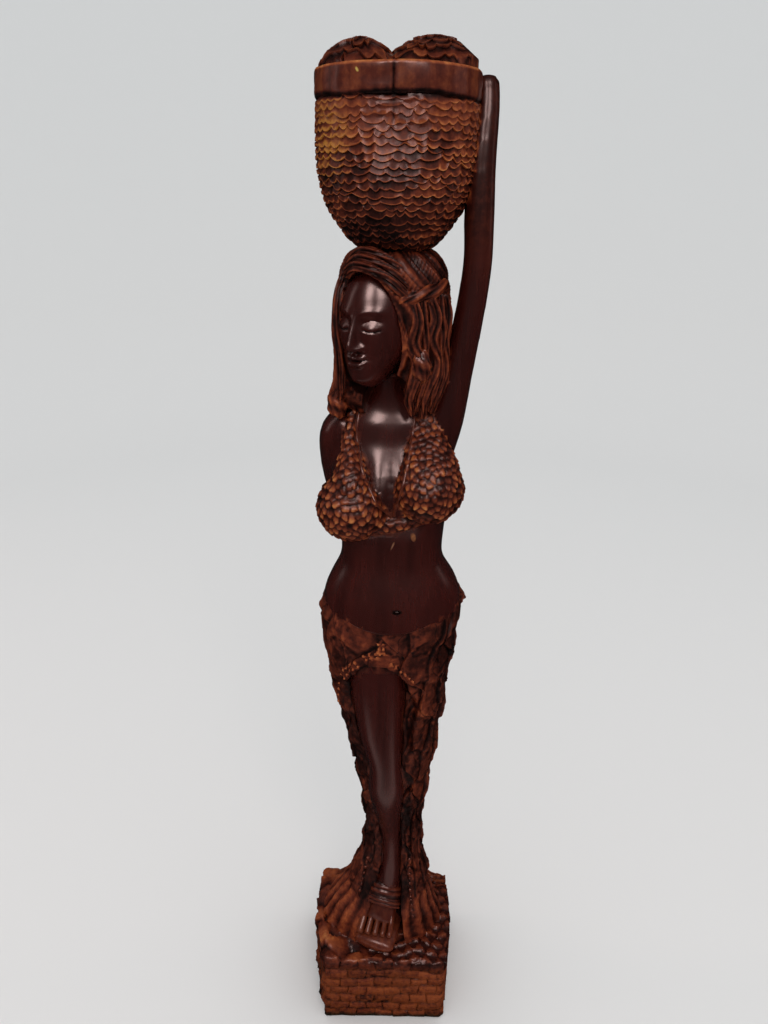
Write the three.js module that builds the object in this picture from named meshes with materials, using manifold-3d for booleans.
// A carved hardwood figure of a woman who carries a full basket on her head.
// Millimetres, +Z up, the figure faces -Y, and the origin is under the middle of the block.
// The carving is one piece of wood, so its parts are joined into one solid at the end.

import * as THREE from 'three';
import { mergeVertices } from 'three/addons/utils/BufferGeometryUtils.js';
import Module from 'manifold-3d';

// Driving dimensions of the carving.

const WOOD_COLOUR = 0x5a2416;
const WOOD_ROUGHNESS = 0.42;

const BLOCK_HEIGHT = 57;
const BLOCK_FRONT_WIDTH = 88;
const BLOCK_DEPTH = 87;
const BLOCK_FLARE_LEFT = 6.5;
const BLOCK_FLARE_RIGHT = 4.5;
const BRICK_COURSES = 5;
const BRICK_GROOVE = 1.1;
const BRICK_ROUGHNESS = 0.6;
const TOP_EDGE_WEAR = 1.5;
const ROCK_HEIGHT = 3.5;
const RIPPLE_HEIGHT = 1.2;

const BASKET_X = -2.8;
const BASKET_RADIUS = 38.1;
const BASKET_BOTTOM = 517;
const RIM_BOTTOM = 584;
const RIM_TOP = 596;
const RIM_PROUD = 0.5;
const RIM_CHAMFER = 3;
const WEAVE_ROWS = 10;
const WEAVE_SCALES = 18;
const WEAVE_DEPTH = 1.1;
const MOUND_TOP = 610;
const MOUND_HALF_DEPTH = 31;

const SKIRT_TOP_SIDE = 344;
const SKIRT_TOP_FRONT = 313;
const SKIRT_TOP_BACK = 350;
const SKIRT_LAYERS = 8;
const SKIRT_LAYER_STEP = 3;
const SKIRT_FOLD = 1.1;
const BAND_HALF_WIDTH = 1.9;
const BAND_HALF_DEPTH = 1.5;

const SCALE_DEPTH = 0.7;
const HAIR_LOCK_DEPTH = 1.3;
const HEAD_TURN = THREE.MathUtils.degToRad(-33);
const HEAD_NOD = THREE.MathUtils.degToRad(6);
const HEAD_CENTRE = new THREE.Vector3(-8.8, -6.5, 484.5);
const FACE_HALF = [20, 23.5, 30.5];
const JAW_FORWARD = 9;

const FOOT_TURN = THREE.MathUtils.degToRad(-19.3);
const HEEL = new THREE.Vector2(2.5, -4);
const TOE_PLACES = [-10, -5, 0, 5, 9.5];

// Columns: height, centre X, half width, centre Y, reach to the front, reach to the back.

const SKIRT_ROWS = [
  [56, -2, 44, 0, 36, 38],
  [70, -1, 38, 0, 30, 34],
  [88, 1.5, 30, 0, 26, 28],
  [104, 3.5, 25.5, 0, 22.5, 23.5],
  [119, 4.5, 21.5, 0, 20, 20],
  [140, 5, 19, 0, 18, 17],
  [165, 4.5, 20.5, 0, 19, 18],
  [192, 4, 23.5, -1, 22, 20],
  [220, 2.5, 28, -2, 25, 23],
  [250, 0.5, 32.5, -3, 28, 26],
  [280, -1, 37, -3, 29, 30],
  [305, -0.3, 40.5, -1, 30, 33],
  [330, 0, 41.5, 0, 28.5, 33],
  [348, 0, 37, 0, 24, 29],
];

const OPENING_ROWS = [
  [58.5, -3, 19, -34, 40, 28],
  [80, -2, 16.5, -34, 40, 26],
  [110, 1, 13.5, -34, 40, 25],
  [150, 0.5, 14, -34, 40, 24],
  [200, -5.5, 20, -34, 40, 23],
  [245, -9.5, 24, -34, 40, 22],
  [268, -7.5, 21, -34, 40, 18],
  [284, -2.5, 12, -34, 40, 12],
  [293, 0, 2, -34, 40, 5],
];

const BODY_ROWS = [
  [290, -0.5, 36, 0, 27, 30],
  [312, 0, 39.5, 0, 28.5, 32],
  [328, 0.2, 40, 0, 28, 32],
  [338, -0.2, 36, 0, 25.5, 29],
  [350, -0.7, 29.8, 0, 22, 24],
  [366, -0.8, 29.4, 0, 21.5, 22],
  [384, -1, 31.5, 1, 27, 21],
  [400, -1.5, 33, 2, 26, 21],
  [412, -2, 32.5, 3, 21.5, 20.5],
  [422, -2, 31, 4, 18.5, 18.5],
  [431, -2, 27.5, 4, 16.5, 16],
  [439, -2, 20.5, 4.5, 13.5, 13],
  [446, -3.5, 12, 4, 12, 12.5],
  [470, -4, 11.5, 0, 13, 14],
];

const HAIR_ROWS = [
  [434, -4.5, 24, 6, 8, 20],
  [440, -5, 30.5, 5, 17, 24],
  [452, -4.5, 30, 3, 21, 27],
  [470, -3.4, 29.2, 1, 24, 29],
  [490, -3, 29.4, 0, 27.5, 30],
  [504, -3, 28.2, 0, 27, 29],
  [512, -3, 25.5, 0, 24.5, 26],
  [518, -3, 21, 0, 20, 21],
  [522, -3, 12, 0, 11, 12],
];

// Columns: height, radius.

const BASKET_ROWS = [
  [BASKET_BOTTOM, 14],
  [521.7, 21],
  [527.8, 26.4],
  [535, 31.6],
  [542.3, 35],
  [552, 37.2],
  [566, BASKET_RADIUS],
  [RIM_BOTTOM, BASKET_RADIUS],
];

// Columns: X, Y, Z, half width, half depth.

const LEG_STATIONS = [
  [-5, -8, 318, 17, 17],
  [-5, -14, 280, 16.2, 17],
  [-4, -17, 240, 13.4, 14.5],
  [-1.8, -19, 212, 10.6, 11.5],
  [-0.8, -17, 190, 11.6, 12],
  [0.6, -13, 168, 9.2, 10.5],
  [3, -10, 145, 6.7, 8],
  [3.6, -9, 122, 6.5, 7.5],
  [2.5, -9, 100, 8, 9],
  [1.5, -8, 80, 8, 9],
];

const RAISED_ARM_STATIONS = [
  [19, 2, 410, 12, 13],
  [26, 1, 432, 10.5, 12],
  [31, -1, 458, 8.6, 9.5],
  [35.5, -3, 486, 7.6, 8.2],
  [38.2, -4, 512, 7.3, 7.6],
  [37.6, -5, 534, 7.4, 7.6],
  [37, -4, 558, 6.2, 6.8],
  [38.3, 0, 580, 5.2, 6.2],
  [38.2, 6, 594, 5.4, 6.5],
];

const HIDDEN_ARM_STATIONS = [
  [-22, 3, 430, 11, 12],
  [-31, 6, 422, 10.5, 12],
  [-33.5, 12, 406, 8.8, 10],
  [-31.5, 19, 386, 7.8, 8],
  [-24, 24, 368, 7.4, 7.5],
  [-10, 26, 354, 6.6, 6.5],
  [3, 25.5, 346, 8.5, 5],
  [13, 24, 342, 6, 4],
];

const CUPS = [
  { centre: [-23, -18, 388], halfSizes: [19.6, 21, 19] },
  { centre: [18, -18, 399], halfSizes: [19.4, 21, 19] },
];

const FULL_TURN = 2 * Math.PI;
const RIGHTWARD = new THREE.Vector3(1, 0, 0);
const UPWARD = new THREE.Vector3(0, 0, 1);

const wasm = await Module();
wasm.setup();

// Helpers: smooth tables, lathe meshes bent into shape, and joins.

/** Rows of numbers, each led by its key, read smoothly between the keys. */
function table(rows) {
  const width = rows[0].length - 1;
  const keys = rows.map((row) => row[0]);
  const values = rows.flatMap((row) => row.slice(1));
  const spline = new THREE.CubicInterpolant(keys, values, width);
  const [low, high] = [keys[0], keys[keys.length - 1]];
  return (key) => Array.from(spline.evaluate(THREE.MathUtils.clamp(key, low, high)));
}

/** A closed unit lathe whose points are moved by place(angle from the front, height, radius). */
function turned(profile, sides, place) {
  const points = profile.map(([radius, height]) => new THREE.Vector2(radius, height));
  let geometry = new THREE.LatheGeometry(points, sides);
  geometry.deleteAttribute('normal');
  geometry.deleteAttribute('uv');
  geometry = mergeVertices(geometry, 1e-5);
  const position = geometry.attributes.position;
  for (let i = 0; i < position.count; i += 1) {
    const [side, height, front] = [position.getX(i), position.getY(i), position.getZ(i)];
    const moved = place(Math.atan2(side, front), height, Math.hypot(side, front));
    position.setXYZ(i, moved[0], moved[1], moved[2]);
  }
  return solid(geometry);
}

/** The solid that a closed geometry bounds. */
function solid(geometry) {
  const index = geometry.index.array;
  const corners = [];
  for (let i = 0; i < index.length; i += 3) {
    const [a, b, c] = [index[i], index[i + 1], index[i + 2]];
    if (a !== b && b !== c && c !== a) {
      corners.push(a, b, c);
    }
  }
  const mesh = new wasm.Mesh({
    numProp: 3,
    vertProperties: Float32Array.from(geometry.attributes.position.array),
    triVerts: Uint32Array.from(corners),
  });
  return new wasm.Manifold(mesh);
}

/** A wall profile with one ring at each height, closed flat at both ends. */
function wall(heights) {
  const first = heights[0];
  const last = heights[heights.length - 1];
  return [[0, first], ...heights.map((height) => [1, height]), [0, last]];
}

/** Evenly spaced numbers, both ends included. */
function steps(from, to, count) {
  return Array.from({ length: count + 1 }, (_, i) => from + ((to - from) * i) / count);
}

/**
 * An upright column. Its table gives centre X, half width, centre Y, front and back reach at each height.
 * carve(angle, height) adds millimetres outward, and square runs from 0 for an ellipse to 1 for a box.
 */
function column(rows, heights, sides, { carve = () => 0, square = 0 } = {}) {
  const section = table(rows);
  return turned(wall(heights), sides, (angle, height, radius) => {
    const [x, halfWidth, y, front, back] = section(height);
    const corner = Math.max(Math.abs(Math.sin(angle)), Math.abs(Math.cos(angle))) ** -square;
    const out = radius * corner * (1 + carve(angle, height) / halfWidth);
    const reach = Math.cos(angle) > 0 ? front : back;
    return [x + halfWidth * out * Math.sin(angle), y - reach * out * Math.cos(angle), height];
  });
}

/** A limb along stations of X, Y, Z, half width and half depth, with rounded ends. */
function limb(stations, sides, rings, sideways = RIGHTWARD) {
  const path = table(stations.map((station, i) => [i, ...station]));
  const end = stations.length - 1;
  const roundEnd = 0.12;
  const blunt = [0.7, 0.02];
  const rounds = steps(roundEnd, end - roundEnd, rings).map((t) => [1, t]);
  const profile = [[0, 0], blunt, ...rounds, [blunt[0], end - blunt[1]], [0, end]];
  const near = 0.05;
  return turned(profile, sides, (angle, t, radius) => {
    const [x, y, z, halfWidth, halfDepth] = path(t);
    const ahead = new THREE.Vector3(...path(Math.min(t + near, end)));
    const along = ahead.sub(new THREE.Vector3(...path(Math.max(t - near, 0)))).normalize();
    const forward = new THREE.Vector3().crossVectors(along, sideways).normalize();
    const across = new THREE.Vector3().crossVectors(forward, along);
    const point = new THREE.Vector3(x, y, z);
    point.addScaledVector(across, halfWidth * radius * Math.sin(angle));
    point.addScaledVector(forward, -halfDepth * radius * Math.cos(angle));
    return point.toArray();
  });
}

/** The half circle that a lathe turns into a ball of radius one. */
function ballProfile(rings) {
  const arc = steps(0, Math.PI, rings).map((lift) => [Math.sin(lift), -Math.cos(lift)]);
  return [[0, -1], ...arc.slice(1, -1), [0, 1]];
}

/** An egg with half sizes, turned about Z and nodded forward, and carved by an offset in millimetres. */
function egg(centre, halfSizes, { sides, rings, turn = 0, nod = 0, carve = () => 0 }) {
  const rotation = new THREE.Euler(nod, 0, turn, 'ZYX');
  return turned(ballProfile(rings), sides, (angle, height, radius) => {
    const point = new THREE.Vector3(radius * Math.sin(angle), -radius * Math.cos(angle), height);
    const out = 1 + carve(angle, height) / halfSizes[0];
    point.multiply(new THREE.Vector3(...halfSizes)).multiplyScalar(out);
    return point.applyEuler(rotation).add(new THREE.Vector3(...centre)).toArray();
  });
}

function join(solids) {
  return solids.reduce((whole, next) => whole.add(next));
}

function smooth(value, low, high) {
  return THREE.MathUtils.smoothstep(value, low, high);
}

// The block: rough brick courses on its four sides, wider behind than at the front, with a rocky top.

function blockTop(x, y) {
  const rock = ROCK_HEIGHT * smooth(-x, 12, 38) * (0.6 + 0.4 * Math.sin(0.35 * x + 0.27 * y));
  const ripples = RIPPLE_HEIGHT * Math.sin(0.3 * x - 0.4 * y) * Math.cos(0.25 * y);
  return BLOCK_HEIGHT + rock + ripples;
}

function block() {
  const sides = 24;
  const course = BLOCK_HEIGHT / BRICK_COURSES;
  const profile = [[0, 0]];
  for (let row = 0; row < BRICK_COURSES; row += 1) {
    profile.push([1, row * course], [1, (row + 0.9) * course]);
  }
  profile.push([1, BLOCK_HEIGHT], [0.88, BLOCK_HEIGHT], [0.7, BLOCK_HEIGHT], [0, BLOCK_HEIGHT]);
  return turned(profile, sides, (angle, height, radius) => {
    const onSquare = radius / Math.max(Math.abs(Math.sin(angle)), Math.abs(Math.cos(angle)));
    const across = onSquare * Math.sin(angle);
    const y = -onSquare * Math.cos(angle) * (BLOCK_DEPTH / 2);
    const flare = smooth(y, -BLOCK_DEPTH / 2, -5) * (across < 0 ? BLOCK_FLARE_LEFT : BLOCK_FLARE_RIGHT);
    const x = across * (BLOCK_FRONT_WIDTH / 2 + flare);
    const onWall = radius > 0.95;
    if (height === BLOCK_HEIGHT) {
      return [x, y, blockTop(x, y) - (onWall ? TOP_EDGE_WEAR : 0)];
    }
    const row = Math.floor(height / course + 0.01);
    const inGroove = height / course - row > 0.5;
    const brick = Math.round((angle / FULL_TURN) * sides) + row;
    const rough = BRICK_ROUGHNESS * Math.sin(2.3 * brick + 1.7 * row);
    const pressed = onWall && height > 0 ? rough - (inGroove ? BRICK_GROOVE : 0) : 0;
    const scale = 1 + pressed / (BLOCK_FRONT_WIDTH / 2);
    return [x * scale, y * scale, height];
  });
}

// The wrap skirt: ragged layers that step outward as they go down, and a flare that spreads on the block.

function skirtTop(angle) {
  const front = Math.max(Math.cos(angle), 0) ** 1.3;
  const back = Math.max(-Math.cos(angle), 0);
  const dip = (SKIRT_TOP_FRONT - SKIRT_TOP_SIDE) * front;
  return SKIRT_TOP_SIDE + dip + (SKIRT_TOP_BACK - SKIRT_TOP_SIDE) * back;
}

function skirt() {
  const section = table(SKIRT_ROWS);
  const bottom = SKIRT_ROWS[0][0];
  const layer = 1 / SKIRT_LAYERS;
  const levels = [0];
  for (let i = 0; i < SKIRT_LAYERS; i += 1) {
    levels.push((i + 0.06) * layer, (i + 0.94) * layer);
  }
  levels.push(1);
  return turned(wall(levels), 32, (angle, level, radius) => {
    const wave = 5 * Math.sin(2 * angle + 9 * level) + 3 * Math.sin(5 * angle - 14 * level);
    const top = skirtTop(angle);
    const free = smooth(level, 0.02, 0.12) * smooth(1 - level, 0.0, 0.16);
    const z = bottom + (top - bottom) * level + wave * free;
    const [x, halfWidth, y, front, back] = section(z);
    const drop = (level * SKIRT_LAYERS) % 1;
    const step = SKIRT_LAYER_STEP * (0.5 - drop) * smooth(1 - level, 0.02, 0.12);
    const fold = SKIRT_FOLD * (Math.sin(9 * angle + 6 * level) * smooth(1 - level, 0.05, 0.5) - 0.7);
    const out = radius * (1 + (step + fold) / halfWidth);
    const reach = Math.cos(angle) > 0 ? front : back;
    return [x + halfWidth * out * Math.sin(angle), y - reach * out * Math.cos(angle), z];
  });
}

/** The space in front of the skirt where the bare leg steps out: an arch that runs down to the block. */
function legOpening() {
  const heights = OPENING_ROWS.map((row) => row[0]);
  return column(OPENING_ROWS, heights, 12, { square: 0.7 });
}

/** The beaded bands that hang from the skirt's top and part along the arch. */
function skirtBands() {
  const section = table(SKIRT_ROWS);
  const onSkirt = (x, z) => {
    const [centre, halfWidth, y, front] = section(z);
    const angle = Math.asin((x - centre) / halfWidth);
    return [x, y - front * Math.cos(angle), z, BAND_HALF_WIDTH, BAND_HALF_DEPTH];
  };
  const middle = limb([onSkirt(-2.5, 311), onSkirt(-1, 302), onSkirt(0.5, 292)], 5, 2);
  const leftPlaces = [[0, 293], [-10, 288], [-19, 280], [-25, 268], [-27, 252]];
  const left = limb(leftPlaces.map(([x, z]) => onSkirt(x, z)), 5, 4);
  const right = limb([onSkirt(0, 293), onSkirt(8, 286), onSkirt(15, 277), onSkirt(17, 262)], 5, 3);
  return join([middle, left, right]);
}

// The leg and the sandalled foot.

function leg() {
  return limb(LEG_STATIONS, 10, 11);
}

function foot() {
  const forward = new THREE.Vector3(0, -1, 0).applyAxisAngle(UPWARD, FOOT_TURN);
  const sideways = RIGHTWARD.clone().applyAxisAngle(UPWARD, FOOT_TURN);
  const at = (ahead, aside) => [
    HEEL.x + forward.x * ahead + sideways.x * aside,
    HEEL.y + forward.y * ahead + sideways.y * aside,
  ];
  const instep = limb([
    [...at(-6, 0), 84, 7, 15],
    [...at(8, 0), 84, 9.5, 12],
    [...at(22, -0.5), 73, 12.5, 6.5],
  ], 8, 3, sideways);
  const sole = limb([
    [...at(-8, 0), 64, 10, 5],
    [...at(12, 0), 64, 13, 5],
    [...at(33, 0), 63.5, 13.5, 4.5],
  ], 8, 3, sideways);
  const toes = TOE_PLACES.map((aside, i) => egg([...at(24.5 - 0.7 * i, aside), 70], [2.7, 7, 3.4], {
    sides: 5,
    rings: 3,
    turn: FOOT_TURN,
    nod: 0.25,
  }));
  const strap = limb([
    [...at(9, -12), 74, 3, 3.5],
    [...at(10, 0), 95, 3, 3.5],
    [...at(9, 12), 74, 3, 3.5],
  ], 5, 4, forward);
  return join([instep, sole, strap, ...toes]);
}

// The body: hips, belly and chest in one column, with the two cups of the halter top.

function body() {
  return column(BODY_ROWS, BODY_ROWS.map((row) => row[0]), 18);
}

/** A small checker of raised and sunk points on an egg, for scales and seeds. */
function scales(sides, rings, depth) {
  return (angle, height) => {
    const across = Math.round((angle / FULL_TURN) * sides);
    const up = Math.round((Math.acos(-height) / Math.PI) * rings);
    return (across + up) % 2 === 0 ? depth : -depth;
  };
}

function halterTop() {
  const [sides, rings] = [14, 10];
  const carve = scales(sides, rings, SCALE_DEPTH);
  const cups = CUPS.map(({ centre, halfSizes }) => egg(centre, halfSizes, { sides, rings, carve }));
  const strap = (x, top, halfWidth) => limb([
    [x * 0.8, -3, top - 1, halfWidth, 7],
    [x * 0.92, -13, top - 16, halfWidth * 1.4, 6],
    [x, -19, top - 34, halfWidth * 2.2 + 3, 12],
    [x, -20, top - 46, 13, 15],
  ], 7, 3);
  const band = limb([[-28, -12, 379, 6, 7], [-3, -19, 383, 6, 6], [26, -12, 389, 6, 7]], 6, 4, UPWARD);
  return join([...cups, strap(-22, 438, 4), strap(17.5, 441, 5.5), band]);
}

// The arms: one raised beside the basket, one turned behind the back.

function raisedArm() {
  return limb(RAISED_ARM_STATIONS, 9, 11);
}

function hiddenArm() {
  return limb(HIDDEN_ARM_STATIONS, 8, 9);
}

// The head: a smooth face turned toward the figure's right, under hair that is cut away around it.

/** A point of the head's own frame (across, toward the face, up) set into the carving. */
function onHead(across, ahead, up) {
  const point = new THREE.Vector3(across, -ahead, up);
  point.applyEuler(new THREE.Euler(HEAD_NOD, 0, HEAD_TURN, 'ZYX'));
  return point.add(HEAD_CENTRE);
}

/** A bump of height one around a centre, with half widths across and up. */
function bump(across, up, [centreAcross, centreUp], [halfAcross, halfUp]) {
  return Math.exp(-(((across - centreAcross) / halfAcross) ** 2) - ((up - centreUp) / halfUp) ** 2);
}

/** How far the face stands out from a plain egg, at a place across and up in millimetres. */
function features(across, up) {
  const side = Math.abs(across);
  const sockets = -2.2 * bump(side, up, [7.5, 4.5], [5, 3.5]);
  const lids = 1.2 * bump(side, up, [8, 2.5], [3.4, 2]);
  const brows = 0.8 * bump(side, up, [8, 9.5], [7, 2.5]);
  const lips = 1.9 * bump(across, up, [0, -13.5], [5, 2.4]);
  const chin = 2 * bump(across, up, [0, -23], [5.5, 4]);
  const cheeks = 1 * bump(side, up, [10.5, -5], [5, 6]);
  return sockets + lids + brows + lips + chin + cheeks;
}

function face() {
  const nose = limb([
    [...onHead(0, 21.5, 8).toArray(), 1.8, 2.6],
    [...onHead(0, 25, -1).toArray(), 2.4, 3],
    [...onHead(0, 26, -6.5).toArray(), 3.9, 3.4],
  ], 6, 2);
  const mask = turned(ballProfile(18), 20, (angle, height, radius) => {
    const frontward = angle - 0.5 * Math.sin(angle);
    const jaw = 1 - 0.3 * smooth(-height, 0.1, 1) * Math.abs(Math.sin(frontward));
    const [halfWidth, halfDepth, halfHeight] = FACE_HALF;
    const across = halfWidth * jaw * radius * Math.sin(frontward);
    const up = halfHeight * height;
    const faces = smooth(Math.cos(frontward), 0, 0.5);
    const ahead = halfDepth * radius * Math.cos(frontward) + JAW_FORWARD * smooth(-height, 0.15, 1);
    return onHead(across, ahead + faces * features(across, up), up).toArray();
  });
  return mask.add(nose);
}

function hair() {
  const heights = [434, 440, 453, 466, 479, 491, 501, 509, 516, 522];
  const sides = 28;
  const locks = (angle, height) => {
    const strand = Math.round((angle / FULL_TURN) * sides);
    const thickness = 1 + 0.35 * Math.sin(0.2 * height + 2 * strand);
    return strand % 2 === 0 ? HAIR_LOCK_DEPTH * thickness : -HAIR_LOCK_DEPTH;
  };
  const mass = column(HAIR_ROWS, heights, sides, { carve: locks });
  const faceWindow = egg(onHead(0, 19, -4).toArray(), [18.5, 26, 32.5], {
    sides: 12, rings: 9, turn: HEAD_TURN, nod: HEAD_NOD,
  });
  const throat = egg([-5, -22, 440], [14.5, 25, 22], { sides: 10, rings: 6 });
  const twist = limb([
    [4, -25, 498, 2.8, 3],
    [15, -21, 499.5, 3.4, 3.4],
    [25.5, -7, 504, 2.4, 2.6],
  ], 6, 4, UPWARD);
  const curl = egg([14, -17, 464], [5.5, 5.5, 7.5], { sides: 7, rings: 5 });
  const sideCurl = egg([-30.5, -5, 442], [6.2, 7, 8], { sides: 7, rings: 5 });
  return join([mass.subtract(faceWindow).subtract(throat), twist, curl, sideCurl]);
}

// The basket: overlapping rows of rounded scales, a plain rim and two heaped mounds.

function basket() {
  const outline = table(BASKET_ROWS);
  const sides = 2 * WEAVE_SCALES;
  const rowHeight = (RIM_BOTTOM - BASKET_BOTTOM) / WEAVE_ROWS;
  const levels = [BASKET_BOTTOM];
  for (let row = 0; row < WEAVE_ROWS; row += 1) {
    levels.push(BASKET_BOTTOM + (row + 0.12) * rowHeight, BASKET_BOTTOM + (row + 0.95) * rowHeight);
  }
  levels.push(RIM_BOTTOM + 1);
  return turned(wall(levels), sides, (angle, level, radius) => {
    const rowPlace = (level - BASKET_BOTTOM) / rowHeight;
    const row = Math.floor(rowPlace);
    const rib = Math.round((angle / FULL_TURN) * sides);
    const tip = (rib + row) % 2 === 0 ? -0.28 : 0.28;
    const inside = smooth(level, BASKET_BOTTOM, BASKET_BOTTOM + 4) * smooth(RIM_BOTTOM - level, -1, 3);
    const z = level + tip * rowHeight * inside;
    const proud = rowPlace - row < 0.5 ? WEAVE_DEPTH : -WEAVE_DEPTH * 0.6;
    const reach = radius * (outline(z)[0] + (proud - 0.8) * inside);
    return [BASKET_X + reach * Math.sin(angle), -reach * Math.cos(angle), z];
  });
}

/** A plain round shape on the basket's axis. */
function onBasketAxis(profile, sides) {
  return turned(profile, sides, (angle, height, radius) => [
    BASKET_X + radius * Math.sin(angle),
    -radius * Math.cos(angle),
    height,
  ]);
}

function rim() {
  const outer = BASKET_RADIUS + RIM_PROUD;
  const inner = BASKET_RADIUS - RIM_CHAMFER;
  const side = [[outer, RIM_BOTTOM], [outer, RIM_TOP - RIM_CHAMFER]];
  return onBasketAxis([[0, RIM_BOTTOM], ...side, [inner, RIM_TOP], [0, RIM_TOP]], 2 * WEAVE_SCALES);
}

function mounds() {
  const foot = RIM_TOP - 6;
  const rings = 8;
  const mound = (x, halfWidth, top, sides) => egg(
    [x, 0, foot],
    [halfWidth, MOUND_HALF_DEPTH, top - foot - SCALE_DEPTH],
    { sides, rings, carve: scales(sides, rings, SCALE_DEPTH) },
  );
  const inside = BASKET_RADIUS - 3.5;
  const above = MOUND_TOP + 2;
  const inBasket = onBasketAxis([[0, foot], [inside, foot], [inside, 600], [21, above], [0, above]], 24);
  const pair = mound(-20.5, 17, MOUND_TOP - 1.5, 12).add(mound(12.5, 22.5, MOUND_TOP, 14));
  return pair.intersect(inBasket);
}

// The whole carving.

function carving() {
  const openSkirt = join([skirt(), skirtBands()]).subtract(legOpening());
  return join([
    block(), openSkirt, leg(), foot(), body(), halterTop(), raisedArm(), hiddenArm(),
    hair(), face(), basket(), rim(), mounds(),
  ]);
}

function toGeometry(whole) {
  const mesh = whole.getMesh();
  const positions = new Float32Array(mesh.numVert * 3);
  for (let i = 0; i < mesh.numVert; i += 1) {
    for (let axis = 0; axis < 3; axis += 1) {
      positions[3 * i + axis] = mesh.vertProperties[mesh.numProp * i + axis];
    }
  }
  const geometry = new THREE.BufferGeometry();
  geometry.setAttribute('position', new THREE.BufferAttribute(positions, 3));
  geometry.setIndex(new THREE.BufferAttribute(Uint32Array.from(mesh.triVerts), 1));
  geometry.computeVertexNormals();
  return geometry;
}

const wood = new THREE.MeshStandardMaterial({
  color: WOOD_COLOUR,
  roughness: WOOD_ROUGHNESS,
  metalness: 0,
});
const statue = new THREE.Mesh(toGeometry(carving()), wood);
statue.name = 'carved_woman_with_basket';

const group = new THREE.Group();
group.add(statue);

export default group;
